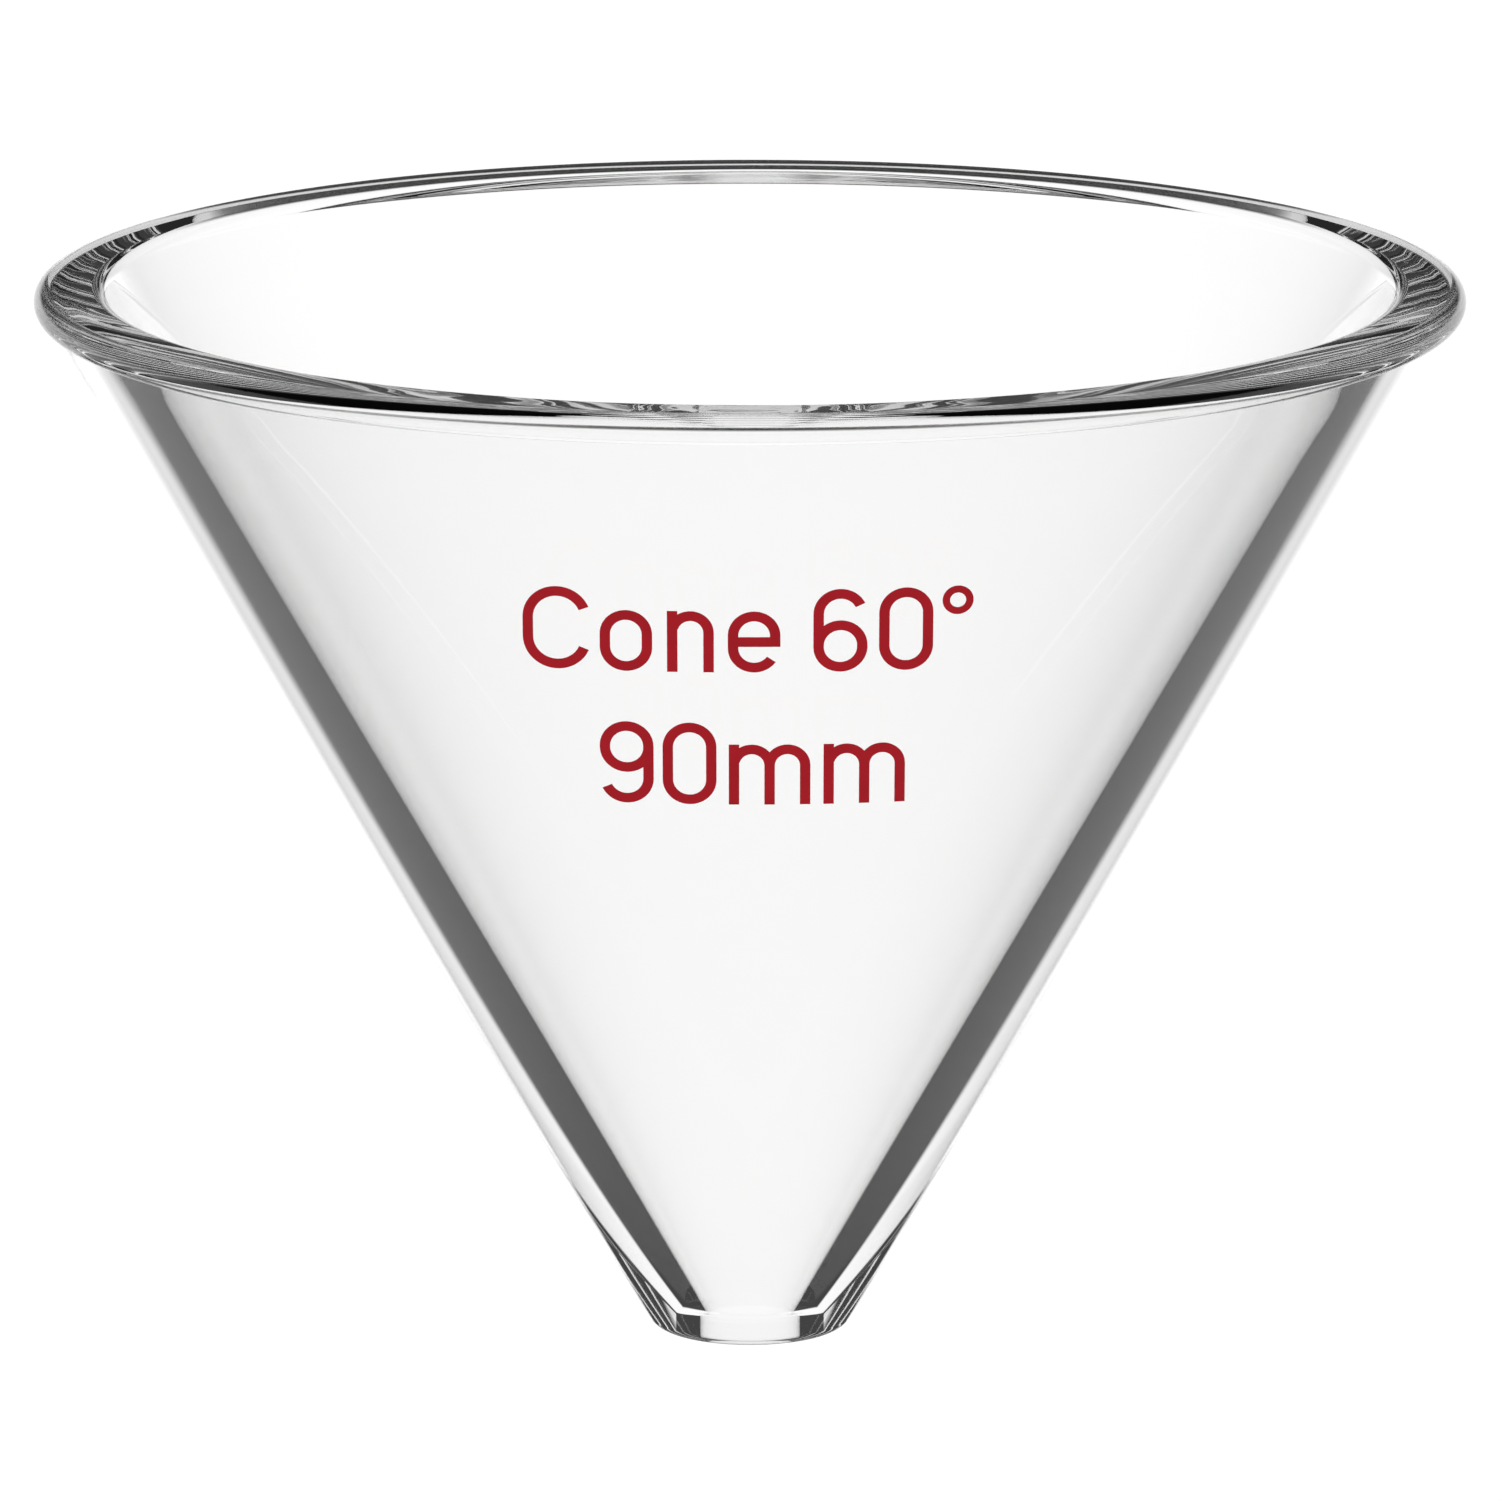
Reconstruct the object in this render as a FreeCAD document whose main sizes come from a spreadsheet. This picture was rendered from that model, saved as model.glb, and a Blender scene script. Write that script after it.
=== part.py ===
import FreeCAD, Part
import Sketcher
import math
import os

# Glass laboratory funnel: 60 degree cone, 90 mm mouth, short thick outlet with
# a plain bore, flame-worked bead round the mouth, and two fired enamel marks.
# Millimetres. Origin on the axis at the bottom of the outlet, +Z up.

doc = FreeCAD.newDocument("Funnel")

# ---------------------------------------------------------------- dimensions
sheet = doc.addObject("Spreadsheet::Sheet", "Dims")
ROWS = [
    ("rimRadius", 45.0, "outermost radius of the bead"),
    ("fullHeight", 67.6, "bottom face to top of the bead"),
    ("halfAngle", 30.0, "half of the cone angle, degrees"),
    ("footRadius", 6.05, "outer cone radius at the bottom plane"),
    ("wallThick", 3.8, "wall, square to its surfaces"),
    ("boreRadius", 3.1, "outlet bore"),
    ("boreRound", 0.35, "rounding of the bore's bottom edge"),
    ("kneeRound", 0.4, "rounding where the cone runs into the bore"),
    ("footRound", 1.5, "rounding of the outlet's bottom edge"),
    ("outletTop", 6.0, "height where the outlet is joined to the wall"),
    ("jointHeight", 62.0, "outer height where the bead is joined to the wall"),
    ("beadRadius", 1.0, "radius of the bead's roll"),
    ("creaseRound", 0.25, "rounding of the crease under the bead"),
    ("cornerRound", 1.2, "rounding of the wall's inner edge at the mouth"),
    ("topDrop", 0.05, "how far that edge lies under the top of the bead"),
    ("inkThick", 0.10, "thickness of the fired enamel"),
    ("inkStroke", 0.64, "stroke width of the marks"),
    ("capHeight", 5.5, "height of the capitals and digits"),
    ("smallHeight", 4.05, "height of the small letters"),
    ("upperLine", 46.53, "base line of the upper mark"),
    ("lowerLine", 37.62, "base line of the lower mark"),
    ("printTilt", 5.0, "downward slope of the printing direction, degrees"),
]
for n, (alias, value, note) in enumerate(ROWS, start=1):
    sheet.set("A%d" % n, alias)
    sheet.set("B%d" % n, str(value))
    sheet.set("C%d" % n, note)
    sheet.setAlias("B%d" % n, alias)
doc.recompute()


def dim(alias):
    return float(getattr(sheet, alias))


A = math.radians(dim("halfAngle"))
SA, CA, TA = math.sin(A), math.cos(A), math.tan(A)
V = FreeCAD.Vector


def outer(z):
    return dim("footRadius") + z * TA


def inner(z):
    return outer(z) - dim("wallThick") / CA


# ------------------------------------------------------------ sketch helpers
def new_body(name):
    body = doc.addObject("PartDesign::Body", name)
    body.Label = name
    body.Placement = FreeCAD.Placement()
    plane = [f for f in body.Origin.OriginFeatures if f.Role == "XZ_Plane"][0]
    sk = body.newObject("Sketcher::SketchObject", name + "_profile")
    sk.AttachmentSupport = (plane, [""])
    sk.MapMode = "FlatFace"
    return body, sk


def line(sk, p, q, construction=False):
    return sk.addGeometry(Part.LineSegment(V(p[0], p[1], 0), V(q[0], q[1], 0)), construction)


def arc(sk, c, p, q, ccw=True):
    """Arc round c from p to q, anticlockwise when ccw."""
    r = math.hypot(p[0] - c[0], p[1] - c[1])
    a = math.atan2(p[1] - c[1], p[0] - c[0])
    b = math.atan2(q[1] - c[1], q[0] - c[0])
    if not ccw:
        a, b = b, a
    while b <= a:
        b += 2 * math.pi
    return sk.addGeometry(Part.ArcOfCircle(Part.Circle(V(c[0], c[1], 0), V(0, 0, 1), r), a, b), False)


def con(sk, *args):
    return sk.addConstraint(Sketcher.Constraint(*args))


def bound(sk, name, expr, kind, *args):
    """A dimension that takes its value from the sheet."""
    i = sk.addConstraint(Sketcher.Constraint(kind, *args))
    sk.renameConstraint(i, name)
    sk.setExpression("Constraints." + name, expr)
    return i


def cone_lines(sk, top):
    """Construction lines along the cone's outer and inner surfaces."""
    lo = line(sk, (outer(0), 0), (outer(top), top), True)
    li = line(sk, (inner(8.0), 8.0), (inner(top), top), True)
    bound(sk, "footX", "Dims.footRadius", "DistanceX", -1, 1, lo, 1, dim("footRadius"))
    con(sk, "PointOnObject", lo, 1, -1)
    bound(sk, "coneTop", "%.6f mm" % top, "DistanceY", -1, 1, lo, 2, top)
    bound(sk, "coneAngle", "90 - Dims.halfAngle", "Angle", lo, math.pi / 2 - A)
    con(sk, "Parallel", lo, li)
    bound(sk, "wall", "Dims.wallThick", "Distance", li, 1, lo, dim("wallThick"))
    bound(sk, "innerLow", "8 mm", "DistanceY", -1, 1, li, 1, 8.0)
    bound(sk, "innerHigh", "%.6f mm" % top, "DistanceY", -1, 1, li, 2, top)
    return lo, li


def revolve(body, sk):
    doc.recompute()
    rev = body.newObject("PartDesign::Revolution", body.Name + "_turned")
    rev.Profile = sk
    rev.ReferenceAxis = (sk, ["V_Axis"])
    rev.Angle = 360.0
    sk.Visibility = False
    body.Tip = rev
    doc.recompute()
    return rev


# ------------------------------------------------------------------ the wall
# A plain conical shell. Its upper end is cut square to the wall, where the
# bead is worked on; its lower end is level, where the outlet begins.
jo = (outer(dim("jointHeight")), dim("jointHeight"))
ji = (jo[0] - dim("wallThick") * CA, jo[1] + dim("wallThick") * SA)
zb = dim("outletTop")

wall, sk = new_body("cone_wall")
lo, li = cone_lines(sk, 70.0)
e = [line(sk, (outer(zb), zb), jo), line(sk, jo, ji),
     line(sk, ji, (inner(zb), zb)), line(sk, (inner(zb), zb), (outer(zb), zb))]
for k in range(4):
    con(sk, "Coincident", e[k], 2, e[(k + 1) % 4], 1)
con(sk, "PointOnObject", e[0], 1, lo)
con(sk, "PointOnObject", e[0], 2, lo)
con(sk, "PointOnObject", e[2], 1, li)
con(sk, "PointOnObject", e[2], 2, li)
con(sk, "Horizontal", e[3])
con(sk, "Perpendicular", e[0], e[1])
bound(sk, "jointZ", "Dims.jointHeight", "DistanceY", -1, 1, e[0], 2, jo[1])
bound(sk, "outletZ", "Dims.outletTop", "DistanceY", -1, 1, e[0], 1, zb)
revolve(wall, sk)

# ------------------------------------------------------------------ the bead
# The edge of the mouth, melted back into a roll that stands out over the
# cone with a sharp crease beneath it. The top runs level from the roll to
# the wall's softly rounded inner edge.
rho, fc = dim("beadRadius"), dim("creaseRound")
q = dim("cornerRound")
cb = (dim("rimRadius") - rho, dim("fullHeight") - rho)
off = (cb[0] - outer(cb[1])) * CA                     # roll centre from the outer surface
foot = (cb[0] - off * CA, cb[1] + off * SA)
s1 = math.sqrt((rho + fc) ** 2 - (fc - off) ** 2)
p1 = (foot[0] - s1 * SA, foot[1] - s1 * CA)           # crease starts on the cone
cf = (p1[0] + fc * CA, p1[1] - fc * SA)


def toward(a, b, d):
    """The point at distance d from a towards b."""
    L = math.hypot(b[0] - a[0], b[1] - a[1])
    return (a[0] + (b[0] - a[0]) * d / L, a[1] + (b[1] - a[1]) * d / L)


p2 = toward(cb, cf, rho)
zq = dim("fullHeight") - dim("topDrop") - q
cq = (inner(zq) + q / CA, zq)                         # inner edge's centre
gap = math.hypot(cq[0] - cb[0], cq[1] - cb[1])
turn = math.atan2(cq[1] - cb[1], cq[0] - cb[0]) - math.acos((rho - q) / gap)
flat = (math.cos(turn), math.sin(turn))               # square to the top
t1 = (cb[0] + rho * flat[0], cb[1] + rho * flat[1])
t2 = (cq[0] + q * flat[0], cq[1] + q * flat[1])
pin = (cq[0] - q * CA, cq[1] + q * SA)

bead, sk = new_body("rim_bead")
lo, li = cone_lines(sk, 70.0)
g = [line(sk, ji, jo), line(sk, jo, p1), arc(sk, cf, p1, p2, False), arc(sk, cb, p2, t1, True),
     line(sk, t1, t2), arc(sk, cq, t2, pin, True), line(sk, pin, ji)]
con(sk, "Coincident", g[0], 2, g[1], 1)
con(sk, "Tangent", g[1], 2, g[2], 2)      # a clockwise arc ends where its own start point is
con(sk, "Tangent", g[2], 1, g[3], 1)
con(sk, "Tangent", g[3], 2, g[4], 1)
con(sk, "Tangent", g[4], 2, g[5], 1)
con(sk, "Tangent", g[5], 2, g[6], 1)
con(sk, "Coincident", g[6], 2, g[0], 1)
con(sk, "PointOnObject", g[1], 1, lo)
con(sk, "PointOnObject", g[1], 2, lo)
con(sk, "PointOnObject", g[6], 1, li)
con(sk, "PointOnObject", g[6], 2, li)
con(sk, "Perpendicular", g[0], g[1])
bound(sk, "jointZ", "Dims.jointHeight", "DistanceY", -1, 1, g[1], 1, jo[1])
bound(sk, "rollX", "Dims.rimRadius - Dims.beadRadius", "DistanceX", -1, 1, g[3], 3, cb[0])
bound(sk, "rollZ", "Dims.fullHeight - Dims.beadRadius", "DistanceY", -1, 1, g[3], 3, cb[1])
bound(sk, "rollR", "Dims.beadRadius", "Radius", g[3], rho)
bound(sk, "creaseR", "Dims.creaseRound", "Radius", g[2], fc)
bound(sk, "cornerR", "Dims.cornerRound", "Radius", g[5], q)
bound(sk, "cornerZ", "Dims.fullHeight - Dims.topDrop - Dims.cornerRound", "DistanceY", -1, 1, g[5], 3, zq)
revolve(bead, sk)

# ---------------------------------------------------------------- the outlet
# The narrow end: the cone's outside runs on down to a rounded foot, and the
# inside stops at a short straight bore.
rb, fk, ff, fb = dim("boreRadius"), dim("kneeRound"), dim("footRound"), dim("boreRound")
zk = (rb + dim("wallThick") / CA - dim("footRadius")) / TA      # cone meets bore
tk = fk * math.tan(A / 2)
k1 = (rb + tk * SA, zk + tk * CA)
k2 = (rb, zk - tk)
kc = (rb + fk, zk - tk)
tf = ff * math.tan((math.pi / 2 - A) / 2)
f1 = (outer(0) - tf, 0.0)
f2 = (outer(0) + tf * SA, tf * CA)
out_body, sk = new_body("outlet")
lo, li = cone_lines(sk, 70.0)
h = [line(sk, (rb + fb, 0), f1), arc(sk, (f1[0], ff), f1, f2, True), line(sk, f2, (outer(zb), zb)),
     line(sk, (outer(zb), zb), (inner(zb), zb)), line(sk, (inner(zb), zb), k1),
     arc(sk, kc, k1, k2, True), line(sk, k2, (rb, fb)), arc(sk, (rb + fb, fb), (rb, fb), (rb + fb, 0), True)]
con(sk, "Tangent", h[0], 2, h[1], 1)
con(sk, "Tangent", h[1], 2, h[2], 1)
con(sk, "Coincident", h[2], 2, h[3], 1)
con(sk, "Coincident", h[3], 2, h[4], 1)
con(sk, "Tangent", h[4], 2, h[5], 1)
con(sk, "Tangent", h[5], 2, h[6], 1)
con(sk, "Tangent", h[6], 2, h[7], 1)
con(sk, "Tangent", h[7], 2, h[0], 1)
con(sk, "PointOnObject", h[0], 1, -1)
con(sk, "PointOnObject", h[0], 2, -1)
con(sk, "Vertical", h[6])
con(sk, "Horizontal", h[3])
con(sk, "PointOnObject", h[2], 1, lo)
con(sk, "PointOnObject", h[2], 2, lo)
con(sk, "PointOnObject", h[4], 1, li)
con(sk, "PointOnObject", h[4], 2, li)
bound(sk, "outletZ", "Dims.outletTop", "DistanceY", -1, 1, h[2], 2, zb)
bound(sk, "boreX", "Dims.boreRadius", "DistanceX", -1, 1, h[6], 1, rb)
bound(sk, "kneeR", "Dims.kneeRound", "Radius", h[5], fk)
bound(sk, "footR", "Dims.footRound", "Radius", h[1], ff)
bound(sk, "boreR", "Dims.boreRound", "Radius", h[7], fb)
revolve(out_body, sk)

# ----------------------------------------------------------------- the marks
# Thin fired enamel on the front (-Y) of the cone: the cone angle and the
# mouth's size. Each stroke is a bar or a part of a ring, drawn flat and
# carried onto the cone along the printing direction.
w = dim("inkStroke")
tilt = math.radians(dim("printTilt"))
UP = V(0, math.sin(tilt), math.cos(tilt))
RIGHT = V(1, 0, 0)
AWAY = V(0, math.cos(tilt), -math.sin(tilt))          # from the printer into the glass
START = AWAY * -60.0


def at(u, v):
    return START + RIGHT * u + UP * v


def bar(x0, y0, x1, y1, width=None):
    t = (width or w) / 2
    L = math.hypot(x1 - x0, y1 - y0)
    nx_, ny_ = -(y1 - y0) / L * t, (x1 - x0) / L * t
    pts = [(x0 + nx_, y0 + ny_), (x0 - nx_, y0 - ny_), (x1 - nx_, y1 - ny_), (x1 + nx_, y1 + ny_)]
    return Part.Face(Part.makePolygon([at(*p) for p in pts + pts[:1]]))


def bow(cx, cy, r, a0, a1, width=None):
    """Part of a ring of mean radius r from angle a0 to a1, in degrees."""
    t = (width or w) / 2

    def pt(rad, a):
        a = math.radians(a)
        return at(cx + rad * math.cos(a), cy + rad * math.sin(a))
    m = (a0 + a1) / 2
    if a1 - a0 >= 360:
        big = Part.Wire(Part.Circle(at(cx, cy), AWAY * -1, r + t).toShape())
        small = Part.Wire(Part.Circle(at(cx, cy), AWAY * -1, r - t).toShape())
        return Part.Face(big).cut(Part.Face(small))
    edges = [Part.Arc(pt(r + t, a0), pt(r + t, m), pt(r + t, a1)).toShape(),
             Part.LineSegment(pt(r + t, a1), pt(r - t, a1)).toShape(),
             Part.Arc(pt(r - t, a1), pt(r - t, m), pt(r - t, a0)).toShape(),
             Part.LineSegment(pt(r - t, a0), pt(r + t, a0)).toShape()]
    return Part.Face(Part.Wire(edges))


CAP, LOW = dim("capHeight"), dim("smallHeight")


def g_zero(x, y, width, height):
    r = (width - w) / 2
    cx = x + width / 2
    lo_, hi_ = y + w / 2 + r, y + height - w / 2 - r
    return [bow(cx, hi_, r, 0, 180), bow(cx, lo_, r, 180, 360),
            bar(cx - r, lo_, cx - r, hi_), bar(cx + r, lo_, cx + r, hi_)]


def g_big_c(x, y, width):
    r = (width - w) / 2 * 1.04
    cx = x + w / 2 + r
    lo_, hi_ = y + w / 2 + r, y + CAP - w / 2 - r
    return [bow(cx, hi_, r, 22, 180), bow(cx, lo_, r, 180, 338), bar(cx - r, lo_, cx - r, hi_)]


def g_n(x, y, width):
    r = (width - w) / 2
    cx = x + width / 2
    hi_ = y + LOW - w / 2 - r
    return [bar(x + w / 2, y, x + w / 2, y + LOW), bow(cx, hi_, r, 0, 165),
            bar(cx + r, y, cx + r, hi_)]


def g_m(x, y, width):
    r = (width - w) / 4
    hi_ = y + LOW - w / 2 - r
    c1, c2 = x + w / 2 + r, x + w / 2 + 3 * r
    return [bar(x + w / 2, y, x + w / 2, y + LOW), bow(c1, hi_, r, 0, 165), bar(c1 + r, y, c1 + r, hi_),
            bow(c2, hi_, r, 0, 180), bar(c2 + r, y, c2 + r, hi_)]


def g_e(x, y, width):
    r = (width - w) / 2
    cx = x + width / 2
    lo_, hi_ = y + w / 2 + r, y + LOW - w / 2 - r
    mid = (lo_ + hi_) / 2
    return [bow(cx, hi_, r, 0, 180), bow(cx, lo_, r, 180, 325), bar(cx - r, lo_, cx - r, hi_),
            bar(cx + r, mid, cx + r, hi_), bar(cx - r, mid, cx + r + w / 2, mid)]


def g_six(x, y, width, turn=False):
    """A six, or a nine when turn is set."""
    r = (width - w) / 2
    cx = x + width / 2

    def Y(v):
        return y + (CAP - v if turn else v)

    def X(u):
        return cx + (-u if turn else u)

    def ring(v, a0, a1):
        return bow(cx, Y(v), r, a0 + (180 if turn else 0), a1 + (180 if turn else 0))
    bot, belly = w / 2 + r, 0.62 * CAP - w / 2 - r
    high = CAP - w / 2 - r
    return [ring(bot, 180, 360), ring(belly, 0, 180),
            bar(X(r), Y(bot), X(r), Y(belly)), bar(X(-r), Y(bot), X(-r), Y(high)), ring(high, 25, 180)]


def fused(faces):
    shape = faces[0]
    if len(faces) > 1:
        shape = faces[0].fuse(faces[1:])
    return shape.removeSplitter()


def skin(bottom, top):
    """Thin conical layer lying on the outside of the cone."""
    t = dim("inkThick") / CA
    full = Part.makeCone(outer(bottom) + t, outer(top) + t, top - bottom, V(0, 0, bottom))
    core = Part.makeCone(outer(bottom), outer(top), top - bottom, V(0, 0, bottom))
    return full.cut(core)


def mark(name, glyphs, bottom, top):
    layer = skin(bottom, top)
    solids = []
    for faces in glyphs:
        flat = fused(faces)
        for face in flat.Faces:
            solids += layer.common(face.extrude(AWAY * 55.0)).Solids
    obj = doc.addObject("Part::Feature", name)
    obj.Shape = Part.makeCompound(solids) if len(solids) > 1 else solids[0]
    obj.Label = name
    obj.Placement = FreeCAD.Placement()
    return obj


yu, yl = dim("upperLine"), dim("lowerLine")
upper = [
    g_big_c(-13.85, yu, 4.05),
    g_zero(-9.15, yu, 3.20, LOW),
    g_n(-5.05, yu, 2.85),
    g_e(-1.35, yu, 3.20),
    g_six(3.85, yu, 3.30),
    g_zero(7.85, yu, 3.30, CAP),
    [bow(12.65, yu + CAP - 0.95, 0.72, 0, 360, 0.46)],
]
lower = [
    g_six(-9.20, yl, 3.30, True),
    g_zero(-5.35, yl, 3.30, CAP),
    g_m(-1.30, yl, 5.00),
    g_m(4.50, yl, 5.00),
]
mark("angle_mark", upper, 44.0, 62.0)
mark("size_mark", lower, 35.0, 50.0)

# -------------------------------------------------------------------- checks
doc.recompute()
for obj in doc.Objects:
    bad = [s for s in obj.State if s in ("Invalid", "Error")]
    if bad:
        raise RuntimeError("%s: %s" % (obj.Name, bad))
NODES = ["cone_wall", "rim_bead", "outlet", "angle_mark", "size_mark"]
by_label = dict((o.Label, o) for o in doc.Objects)
for name in NODES:
    shape = by_label[name].Shape
    if shape.isNull() or not shape.isValid() or not shape.Solids:
        raise RuntimeError(name + ": bad shape")
    for solid in shape.Solids:
        if solid.Volume <= 0:
            raise RuntimeError(name + ": solid without volume")

os.makedirs("parts", exist_ok=True)
for name in NODES:
    shape = by_label[name].Shape
    shape.exportStep("parts/%s.step" % name)
    bb = shape.BoundBox
    print("%-12s solids %2d  volume %9.2f mm3  x %.2f..%.2f  y %.2f..%.2f  z %.2f..%.2f" % (
        name, len(shape.Solids), shape.Volume, bb.XMin, bb.XMax, bb.YMin, bb.YMax, bb.ZMin, bb.ZMax))
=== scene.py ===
"""Clear laboratory glass funnel with a fired red print, on a plain pale floor. Metres, Z up, the foot's centre at the origin."""
import math

import bpy
import numpy as np
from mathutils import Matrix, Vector


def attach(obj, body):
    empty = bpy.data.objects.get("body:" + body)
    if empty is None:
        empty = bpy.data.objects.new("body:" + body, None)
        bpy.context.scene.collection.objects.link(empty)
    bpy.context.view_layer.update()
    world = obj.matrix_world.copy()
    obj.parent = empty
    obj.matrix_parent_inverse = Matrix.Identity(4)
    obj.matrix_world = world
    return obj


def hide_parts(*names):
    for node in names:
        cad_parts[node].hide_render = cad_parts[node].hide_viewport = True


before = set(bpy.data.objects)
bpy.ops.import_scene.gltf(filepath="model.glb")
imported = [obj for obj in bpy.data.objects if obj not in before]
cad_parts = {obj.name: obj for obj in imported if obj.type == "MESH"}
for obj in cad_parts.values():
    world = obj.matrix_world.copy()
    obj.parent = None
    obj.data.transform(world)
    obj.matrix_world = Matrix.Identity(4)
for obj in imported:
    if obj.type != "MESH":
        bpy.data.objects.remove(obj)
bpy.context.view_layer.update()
scene = bpy.context.scene
MM = 0.001

# ------------------------------------------------------------------ profile
# The glass is one body of revolution. Its section is drawn here as a single
# closed loop (millimetres) so that the three worked regions share exactly the
# same surface, and is then cut where the wall meets the bead and the outlet.
A = math.radians(30.0)
SA, CA, TA = math.sin(A), math.cos(A), math.tan(A)
R0, WALL = 6.05, 3.8
RIM_R, RIM_Z = 45.0, 67.6


def outer(z):
    return R0 + z * TA


def inner(z):
    return outer(z) - WALL / CA


def toward(a, b, d):
    n = math.hypot(b[0] - a[0], b[1] - a[1])
    return (a[0] + (b[0] - a[0]) * d / n, a[1] + (b[1] - a[1]) * d / n)


JZ, OZ = 62.0, 6.0
jo = (outer(JZ), JZ)
ji = (jo[0] - WALL * CA, jo[1] + WALL * SA)

rho, fc, q, drop = 1.0, 0.25, 1.2, 0.05
cb = (RIM_R - rho, RIM_Z - rho)
off = (cb[0] - outer(cb[1])) * CA
foot = (cb[0] - off * CA, cb[1] + off * SA)
s1 = math.sqrt((rho + fc) ** 2 - (fc - off) ** 2)
p1 = (foot[0] - s1 * SA, foot[1] - s1 * CA)
cf = (p1[0] + fc * CA, p1[1] - fc * SA)
p2 = toward(cb, cf, rho)
zq = RIM_Z - drop - q
cq = (inner(zq) + q / CA, zq)
gap = math.hypot(cq[0] - cb[0], cq[1] - cb[1])
turn = math.atan2(cq[1] - cb[1], cq[0] - cb[0]) - math.acos((rho - q) / gap)
flat_n = (math.cos(turn), math.sin(turn))
t1 = (cb[0] + rho * flat_n[0], cb[1] + rho * flat_n[1])
t2 = (cq[0] + q * flat_n[0], cq[1] + q * flat_n[1])
pin = (cq[0] - q * CA, cq[1] + q * SA)

rb, kr, fr, br = 3.1, 0.4, 1.5, 0.35
zk = (rb + WALL / CA - R0) / TA
tk = kr * math.tan(A / 2)
k1 = (rb + tk * SA, zk + tk * CA)
k2 = (rb, zk - tk)
kc = (rb + kr, zk - tk)
tf = fr * math.tan((math.pi / 2 - A) / 2)
f1 = (outer(0) - tf, 0.0)
f2 = (outer(0) + tf * SA, tf * CA)
fcen = (f1[0], fr)
b1, b2, bc = (rb, br), (rb + br, 0.0), (rb + br, br)

rows = []          # r, z, outward normal r, outward normal z
cuts = {}


def add(p, n):
    if rows and math.hypot(rows[-1][0] - p[0], rows[-1][1] - p[1]) < 1e-6:
        return
    rows.append((p[0], p[1], n[0], n[1]))


def straight(p, q, n, steps):
    for i in range(steps + 1):
        t = i / steps
        add((p[0] + (q[0] - p[0]) * t, p[1] + (q[1] - p[1]) * t), n)


def curve(c, p, q, steps, convex, ccw):
    r = math.hypot(p[0] - c[0], p[1] - c[1])
    a, b = math.atan2(p[1] - c[1], p[0] - c[0]), math.atan2(q[1] - c[1], q[0] - c[0])
    if ccw:
        while b <= a:
            b += 2 * math.pi
    else:
        while b >= a:
            b -= 2 * math.pi
    for i in range(steps + 1):
        t = a + (b - a) * i / steps
        u = (math.cos(t), math.sin(t))
        add((c[0] + r * u[0], c[1] + r * u[1]), u if convex else (-u[0], -u[1]))


N_IN, N_OUT = (-CA, SA), (CA, -SA)
cuts["in_low"] = 0
straight((inner(OZ), OZ), k1, N_IN, 10)
curve(kc, k1, k2, 8, True, True)
straight(k2, b1, (-1.0, 0.0), 6)
curve(bc, b1, b2, 12, True, True)
straight(b2, f1, (0.0, -1.0), 4)
curve(fcen, f1, f2, 20, True, True)
straight(f2, (outer(OZ), OZ), N_OUT, 10)
cuts["out_low"] = len(rows) - 1
straight((outer(OZ), OZ), jo, N_OUT, 48)
cuts["out_high"] = len(rows) - 1
straight(jo, p1, N_OUT, 8)
curve(cf, p1, p2, 14, False, False)
curve(cb, p2, t1, 64, True, True)
straight(t1, t2, flat_n, 6)
curve(cq, t2, pin, 32, True, True)
straight(pin, ji, N_IN, 8)
cuts["in_high"] = len(rows) - 1
straight(ji, (inner(OZ), OZ), N_IN, 48)
rows.pop()         # the last point is the first one again
prof = np.array(rows)
K = len(prof)


# ------------------------------------------------------------- the surface
# Hand-worked glass is not perfectly even: the roll's size and height drift a
# little round the mouth, and so does the lip. The drift only ever takes glass
# away, so the outside size is kept.
SEG = 384
theta = np.arange(SEG) / SEG * 2 * math.pi - math.pi / 2      # 0 is at -Y


def ripple(seed, orders, power=1.0):
    rng = np.random.RandomState(seed)
    out = np.zeros(SEG)
    for k in orders:
        out += rng.normal() / k ** power * np.cos(k * theta + rng.uniform(0, 2 * math.pi))
    return out / max(1e-9, np.abs(out).max())


def smooth(x, a, b):
    t = np.clip((x - a) / (b - a), 0, 1)
    return t * t * (3 - 2 * t)


seg_len = np.hypot(np.diff(prof[:, 0], append=prof[:1, 0]), np.diff(prof[:, 1], append=prof[:1, 1]))
arc_s = np.concatenate([[0], np.cumsum(seg_len)[:-1]])
height = prof[:, 1]
inward = 1.0 - smooth(prof[:, 0], 42.6, 44.0)
near_rim = (smooth(height, 64.6, 66.4) * (1 - inward))[:, None]
on_lip = (smooth(height, 61.5, 65.5) * inward)[:, None]
roll = (ripple(5, range(3, 15), 0.7) - 1.0) * 0.5 * 0.035
lip = ripple(11, range(4, 22), 0.6) * 0.015
delta = near_rim * roll[None, :] + on_lip * lip[None, :]

ds = np.zeros_like(delta)
nxt, prv = np.roll(delta, -1, 0), np.roll(delta, 1, 0)
ds = (nxt - prv) / (seg_len + np.roll(seg_len, 1))[:, None]
dt = (np.roll(delta, -1, 1) - np.roll(delta, 1, 1)) / (2 * (2 * math.pi / SEG)) / prof[:, 0][:, None]
tan_r = prof[:, 3]
tan_z = -prof[:, 2]
step = np.roll(prof[:, :2], -1, 0) - np.roll(prof[:, :2], 1, 0)
sign = np.sign(step[:, 0] * tan_r + step[:, 1] * tan_z)[:, None]
nr = prof[:, 2][:, None] - ds * (tan_r[:, None] * sign)
nz = prof[:, 3][:, None] - ds * (tan_z[:, None] * sign)
nt = -dt
ln = np.sqrt(nr ** 2 + nz ** 2 + nt ** 2)
nr, nz, nt = nr / ln, nz / ln, nt / ln
R = prof[:, 0][:, None] + delta * prof[:, 2][:, None]
Z = prof[:, 1][:, None] + delta * prof[:, 3][:, None]
ct, st = np.cos(theta)[None, :], np.sin(theta)[None, :]
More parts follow.
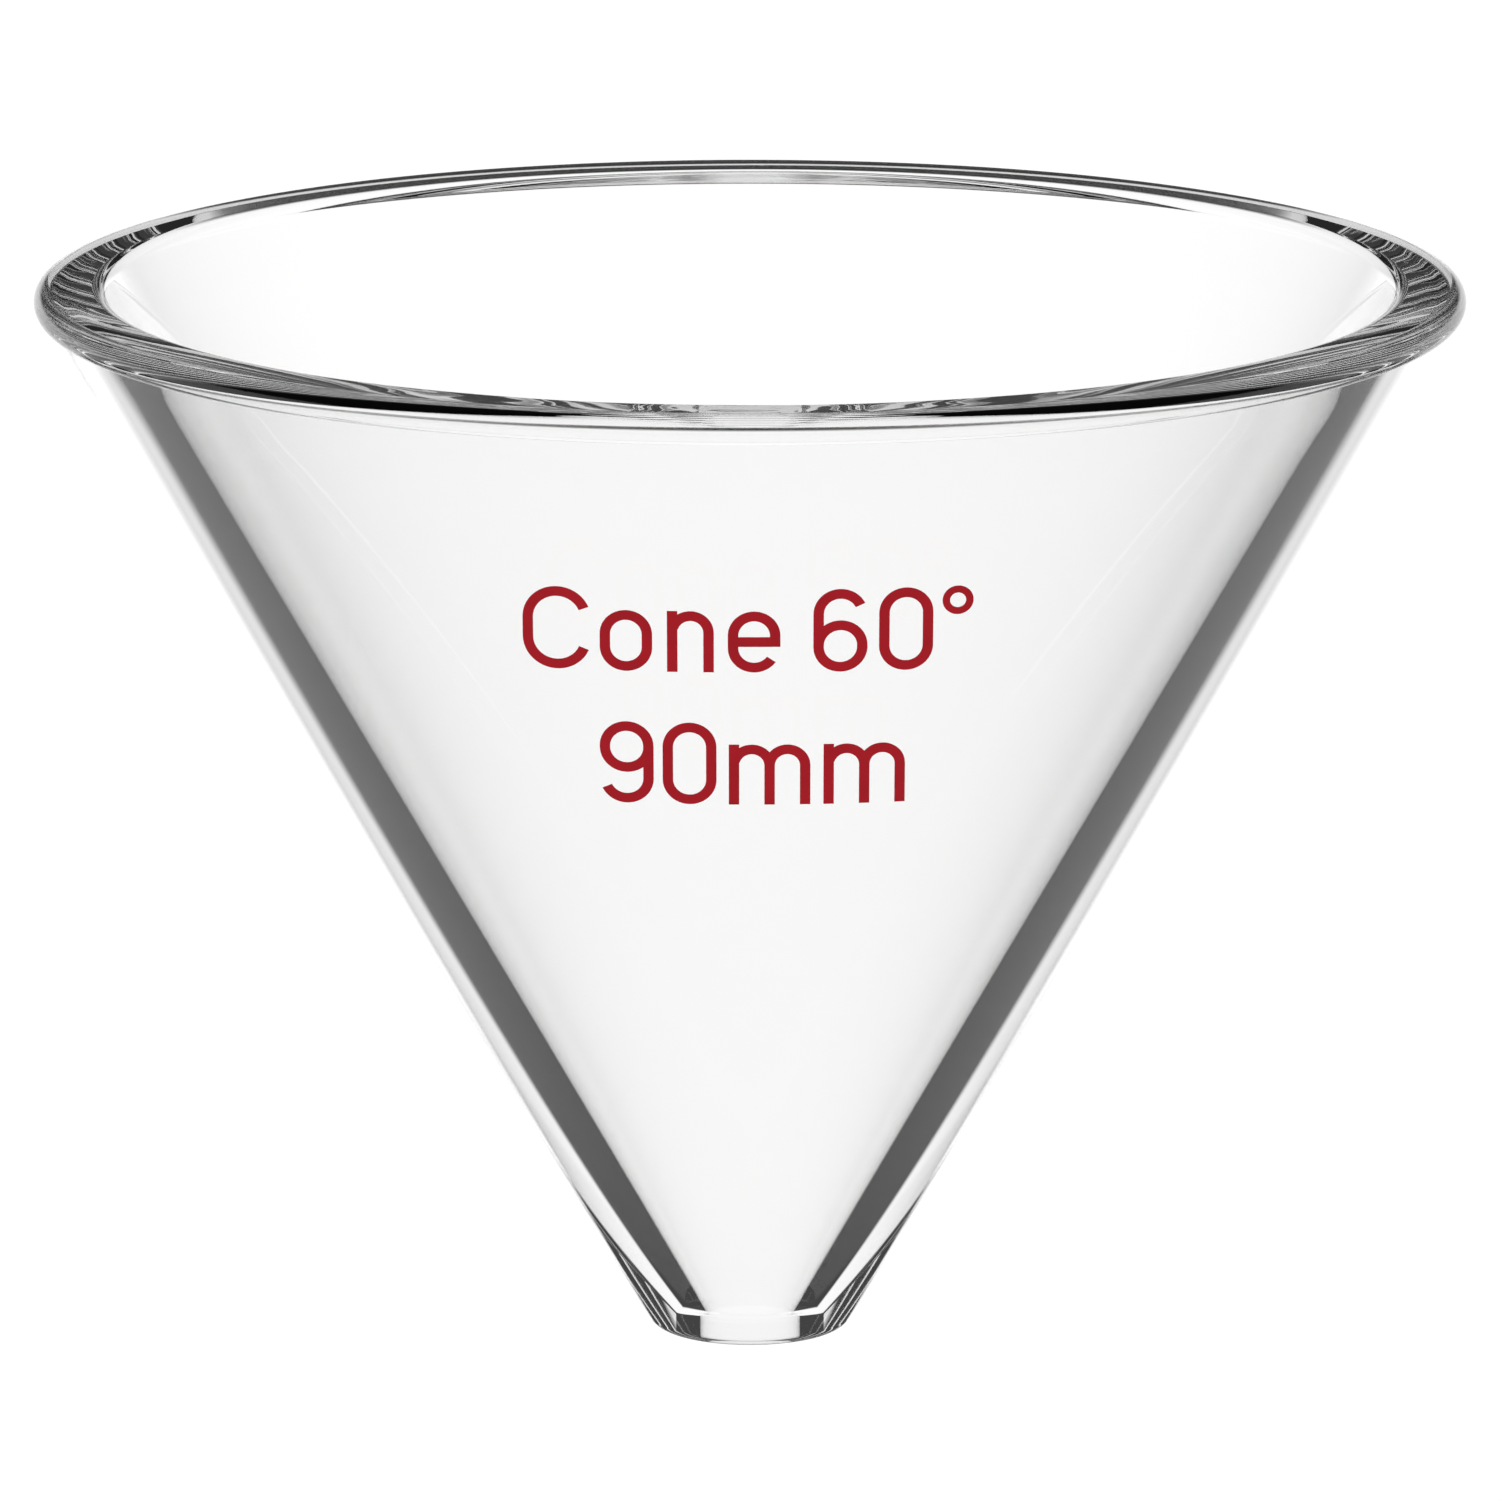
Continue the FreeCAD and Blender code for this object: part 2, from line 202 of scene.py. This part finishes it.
P = np.stack([R * ct, R * st, Z + 0 * ct], -1) * MM
NRM = np.stack([nr * ct - nt * st, nr * st + nt * ct, nz + 0 * ct], -1)


# --------------------------------------------------------------- materials
def shader(name):
    m = bpy.data.materials.new(name)
    m.use_nodes = True
    nt_ = m.node_tree
    nt_.nodes.clear()
    out = nt_.nodes.new("ShaderNodeOutputMaterial")
    return m, nt_, out


def put(nt_, kind, **values):
    n = nt_.nodes.new(kind)
    for k, v in values.items():
        if k in n.inputs:
            n.inputs[k].default_value = v
        else:
            setattr(n, k, v)
    return n


def glass(name, tint, tint2, scale, wave):
    """Clear borosilicate: a trace of colour, and faint cords and ripples left by the forming."""
    m, t, out = shader(name)
    p = put(t, "ShaderNodeBsdfPrincipled")
    p.inputs["Transmission Weight"].default_value = 1.0
    p.inputs["Roughness"].default_value = 0.0
    p.inputs["IOR"].default_value = 1.474
    where = put(t, "ShaderNodeTexCoord")
    stretch = put(t, "ShaderNodeMapping")
    stretch.inputs["Scale"].default_value = (scale, scale, scale * 0.3)
    t.links.new(where.outputs["Object"], stretch.inputs["Vector"])
    noise = put(t, "ShaderNodeTexNoise")
    noise.inputs["Scale"].default_value = 1.0
    noise.inputs["Detail"].default_value = 1.5
    noise.inputs["Roughness"].default_value = 0.4
    t.links.new(stretch.outputs["Vector"], noise.inputs["Vector"])
    mix = put(t, "ShaderNodeMix", data_type="RGBA")
    mix.inputs[6].default_value = (*tint, 1)
    mix.inputs[7].default_value = (*tint2, 1)
    t.links.new(noise.outputs["Fac"], mix.inputs[0])
    t.links.new(mix.outputs[2], p.inputs["Base Color"])
    bump = put(t, "ShaderNodeBump")
    bump.inputs["Strength"].default_value = 1.0
    bump.inputs["Distance"].default_value = wave
    t.links.new(noise.outputs["Fac"], bump.inputs["Height"])
    t.links.new(bump.outputs["Normal"], p.inputs["Normal"])
    t.links.new(p.outputs["BSDF"], out.inputs["Surface"])
    return m


wall_glass = glass("wall_glass", (0.992, 0.994, 0.990), (0.996, 0.997, 0.995), 90.0, 0.000003)
rim_glass = glass("rim_glass", (0.985, 0.988, 0.984), (0.992, 0.994, 0.991), 120.0, 0.000001)
foot_glass = glass("foot_glass", (0.985, 0.988, 0.984), (0.992, 0.994, 0.991), 160.0, 0.000003)

fused, t, out = shader("fused_joint")
clear = put(t, "ShaderNodeBsdfTransparent")
t.links.new(clear.outputs["BSDF"], out.inputs["Surface"])


# ------------------------------------------------------------------ pieces
def turned(name, first, last, material, node):
    """The part of the surface from profile row first to last, closed with a flat face where it is joined."""
    idx = [i % K for i in range(first, (last if last > first else last + K) + 1)]
    n = len(idx)
    verts = P[idx].reshape(-1, 3)
    faces, mats = [], []
    for i in range(n):
        j = (i + 1) % n
        cap = i == n - 1
        for a in range(SEG):
            b = (a + 1) % SEG
            faces.append((i * SEG + a, i * SEG + b, j * SEG + b, j * SEG + a))
            mats.append(1 if cap else 0)
    me = bpy.data.meshes.new(name)
    me.from_pydata(verts.tolist(), [], faces)
    me.materials.append(material)
    me.materials.append(fused)
    me.polygons.foreach_set("material_index", mats)
    me.polygons.foreach_set("use_smooth", [True] * len(faces))
    me.update()
    # which way round: the first face's normal against the wanted one
    want = NRM[idx[n // 2], 0]
    got = me.polygons[(n // 2) * SEG].normal
    if got.dot(Vector(want)) < 0:
        me.flip_normals()
        me.update()
    corner = np.zeros((len(me.loops), 3))
    vi = np.zeros(len(me.loops), np.int32)
    me.loops.foreach_get("vertex_index", vi)
    flat = NRM[idx].reshape(-1, 3)
    corner[:] = flat[vi]
    capf = np.array(mats)
    for pgn in me.polygons:
        if capf[pgn.index]:
            for li in pgn.loop_indices:
                corner[li] = pgn.normal
    me.normals_split_custom_set(corner.tolist())
    me.validate()
    ob = bpy.data.objects.new(name, me)
    scene.collection.objects.link(ob)
    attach(ob, "root")
    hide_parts(node)
    ob.visible_diffuse = False
    return ob


turned("outlet_glass", cuts["in_low"], cuts["out_low"], foot_glass, "outlet")


def wall():
    """The cone: outside and inside faces, and the two joints."""
    lo_out, hi_out = cuts["out_low"], cuts["out_high"]
    lo_in, hi_in = K, cuts["in_high"]
    idx = list(range(lo_out, hi_out + 1)) + [i % K for i in range(hi_in, lo_in + 1)]
    n = len(idx)
    top, bottom = hi_out - lo_out, n - 1
    faces, mats = [], []
    for i in range(n):
        j = (i + 1) % n
        cap = i in (top, bottom)
        for a in range(SEG):
            b = (a + 1) % SEG
            faces.append((i * SEG + a, i * SEG + b, j * SEG + b, j * SEG + a))
            mats.append(1 if cap else 0)
    me = bpy.data.meshes.new("cone_glass")
    me.from_pydata(P[idx].reshape(-1, 3).tolist(), [], faces)
    me.materials.append(wall_glass)
    me.materials.append(fused)
    me.polygons.foreach_set("material_index", mats)
    me.polygons.foreach_set("use_smooth", [True] * len(faces))
    me.update()
    if me.polygons[5 * SEG].normal.dot(Vector(NRM[idx[5], 0])) < 0:
        me.flip_normals()
        me.update()
    vi = np.zeros(len(me.loops), np.int32)
    me.loops.foreach_get("vertex_index", vi)
    corner = NRM[idx].reshape(-1, 3)[vi]
    for pgn in me.polygons:
        if mats[pgn.index]:
            for li in pgn.loop_indices:
                corner[li] = pgn.normal
    me.normals_split_custom_set(corner.tolist())
    me.validate()
    ob = bpy.data.objects.new("cone_glass", me)
    scene.collection.objects.link(ob)
    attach(ob, "root")
    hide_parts("cone_wall")
    ob.visible_diffuse = False
    return ob


wall()
turned("bead_glass", cuts["out_high"], cuts["in_high"], rim_glass, "rim_bead")

# ------------------------------------------------------------------- print
enamel, t, out = shader("fired_red_enamel")
p = put(t, "ShaderNodeBsdfPrincipled")
where = put(t, "ShaderNodeTexCoord")
grain = put(t, "ShaderNodeTexNoise")
grain.inputs["Scale"].default_value = 5200.0
grain.inputs["Detail"].default_value = 3.0
cloud = put(t, "ShaderNodeTexNoise")
cloud.inputs["Scale"].default_value = 420.0
cloud.inputs["Detail"].default_value = 2.0
for n_ in (grain, cloud):
    t.links.new(where.outputs["Object"], n_.inputs["Vector"])
mix = put(t, "ShaderNodeMix", data_type="RGBA")
mix.inputs[6].default_value = (0.290, 0.0030, 0.0080, 1)
mix.inputs[7].default_value = (0.400, 0.0055, 0.0140, 1)
t.links.new(cloud.outputs["Fac"], mix.inputs[0])
t.links.new(mix.outputs[2], p.inputs["Base Color"])
rough = put(t, "ShaderNodeMapRange")
rough.inputs["To Min"].default_value = 0.30
rough.inputs["To Max"].default_value = 0.55
t.links.new(grain.outputs["Fac"], rough.inputs["Value"])
t.links.new(rough.outputs["Result"], p.inputs["Roughness"])
p.inputs["Specular IOR Level"].default_value = 0.12
bump = put(t, "ShaderNodeBump")
bump.inputs["Strength"].default_value = 0.5
bump.inputs["Distance"].default_value = 0.00002
t.links.new(grain.outputs["Fac"], bump.inputs["Height"])
t.links.new(bump.outputs["Normal"], p.inputs["Normal"])
t.links.new(p.outputs["BSDF"], out.inputs["Surface"])
for node in ("angle_mark", "size_mark"):
    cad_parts[node].visible_glossy = False
    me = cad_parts[node].data
    me.materials.clear()
    me.materials.append(enamel)

# ------------------------------------------------------------------- stage
pale, t, out = shader("pale_floor")
d = put(t, "ShaderNodeBsdfDiffuse")
d.inputs["Color"].default_value = (0.95, 0.95, 0.95, 1)
t.links.new(d.outputs["BSDF"], out.inputs["Surface"])


def disc(name, radius, z):
    me = bpy.data.meshes.new(name)
    turn_ = [a / 96 * 2 * math.pi for a in range(96)]
    me.from_pydata([(radius * math.cos(a), radius * math.sin(a), z) for a in turn_], [], [tuple(range(96))])
    me.materials.append(pale)
    ob = bpy.data.objects.new(name, me)
    scene.collection.objects.link(ob)
    return ob


# The glass does not show the floor: the dark studio below the horizon shows instead.
floor = disc("floor", 4.0, -0.00004)
floor.visible_transmission = False
floor.visible_glossy = False

# A plain studio: an even white surround, dark underneath for what the glass
# bends or throws back towards the table.
WHITE = 1.10
world = bpy.data.worlds.new("studio")
scene.world = world
world.use_nodes = True
t = world.node_tree
t.nodes.clear()
out = t.nodes.new("ShaderNodeOutputWorld")
bg = t.nodes.new("ShaderNodeBackground")
t.links.new(bg.outputs["Background"], out.inputs["Surface"])
where = t.nodes.new("ShaderNodeTexCoord")
sep = t.nodes.new("ShaderNodeSeparateXYZ")
t.links.new(where.outputs["Generated"], sep.inputs["Vector"])
asin = t.nodes.new("ShaderNodeMath")
asin.operation = "ARCSINE"
t.links.new(sep.outputs["Z"], asin.inputs[0])
path = t.nodes.new("ShaderNodeLightPath")


def band(stops):
    """Brightness against elevation in degrees, straight between the stops."""
    rng = t.nodes.new("ShaderNodeMapRange")
    rng.inputs["From Min"].default_value = -math.pi / 2
    rng.inputs["From Max"].default_value = math.pi / 2
    t.links.new(asin.outputs[0], rng.inputs["Value"])
    ramp = t.nodes.new("ShaderNodeValToRGB")
    cr = ramp.color_ramp
    cr.interpolation = "LINEAR"
    while len(cr.elements) < len(stops):
        cr.elements.new(0.5)
    for e, (el, v) in zip(cr.elements, stops):
        e.position = (el + 90) / 180
        e.color = (v, v, v, 1)
    t.links.new(rng.outputs["Result"], ramp.inputs["Fac"])
    return ramp.outputs["Color"]


through = band([(-90, 0.03), (-41, 0.03), (-34, 1.0), (32, 1.0), (42, 0.03), (90, 0.03)])
thrown = band([(-90, 0.05), (-24, 0.05), (-21.5, 1.0), (3, 1.0), (8, 0.05), (90, 0.05)])
deep = band([(-90, 0.80), (-50, 0.85), (3, 0.85), (8, 0.05), (90, 0.05)])


def math_node(op, a, b=None):
    m = t.nodes.new("ShaderNodeMath")
    m.operation = op
    for i, v in enumerate((a, b)):
        if v is None:
            continue
        if isinstance(v, (int, float)):
            m.inputs[i].default_value = v
        else:
            t.links.new(v, m.inputs[i])
    return m.outputs[0]


def blend(f, a, b):
    m = t.nodes.new("ShaderNodeMix")
    m.data_type = "RGBA"
    t.links.new(f, m.inputs[0])
    for i, v in ((6, a), (7, b)):
        if isinstance(v, tuple):
            m.inputs[i].default_value = v
        else:
            t.links.new(v, m.inputs[i])
    return m.outputs[2]


bounced = math_node("GREATER_THAN", path.outputs["Glossy Depth"], 0.5)
plain = math_node("MAXIMUM", path.outputs["Is Camera Ray"],
                  math_node("GREATER_THAN", path.outputs["Diffuse Depth"], 0.5))
wandered = math_node("MAXIMUM", math_node("GREATER_THAN", path.outputs["Glossy Depth"], 1.5),
                     math_node("GREATER_THAN", path.outputs["Transmission Depth"], 2.5))
colour = blend(plain, blend(bounced, through, blend(wandered, thrown, deep)), (1, 1, 1, 1))
t.links.new(colour, bg.inputs["Color"])
bg.inputs["Strength"].default_value = WHITE
world.cycles.sampling_method = "NONE"

# ------------------------------------------------------------------ camera
cam = bpy.data.cameras.new("camera")
cam.lens = 370.09
cam.sensor_width = 36.0
cam.clip_start, cam.clip_end = 0.05, 50.0
camera = bpy.data.objects.new("camera", cam)
scene.collection.objects.link(camera)
camera.location = (0.0, -0.953486, 0.242393)
camera.rotation_euler = (math.pi / 2 - 0.211733654, 0.0, 0.0)
scene.camera = camera

scene.view_settings.view_transform = "Standard"
scene.view_settings.look = "None"
scene.cycles.max_bounces = 32
scene.cycles.glossy_bounces = 24
scene.cycles.transmission_bounces = 32
scene.cycles.transparent_max_bounces = 32
scene.cycles.sample_clamp_indirect = 4.0
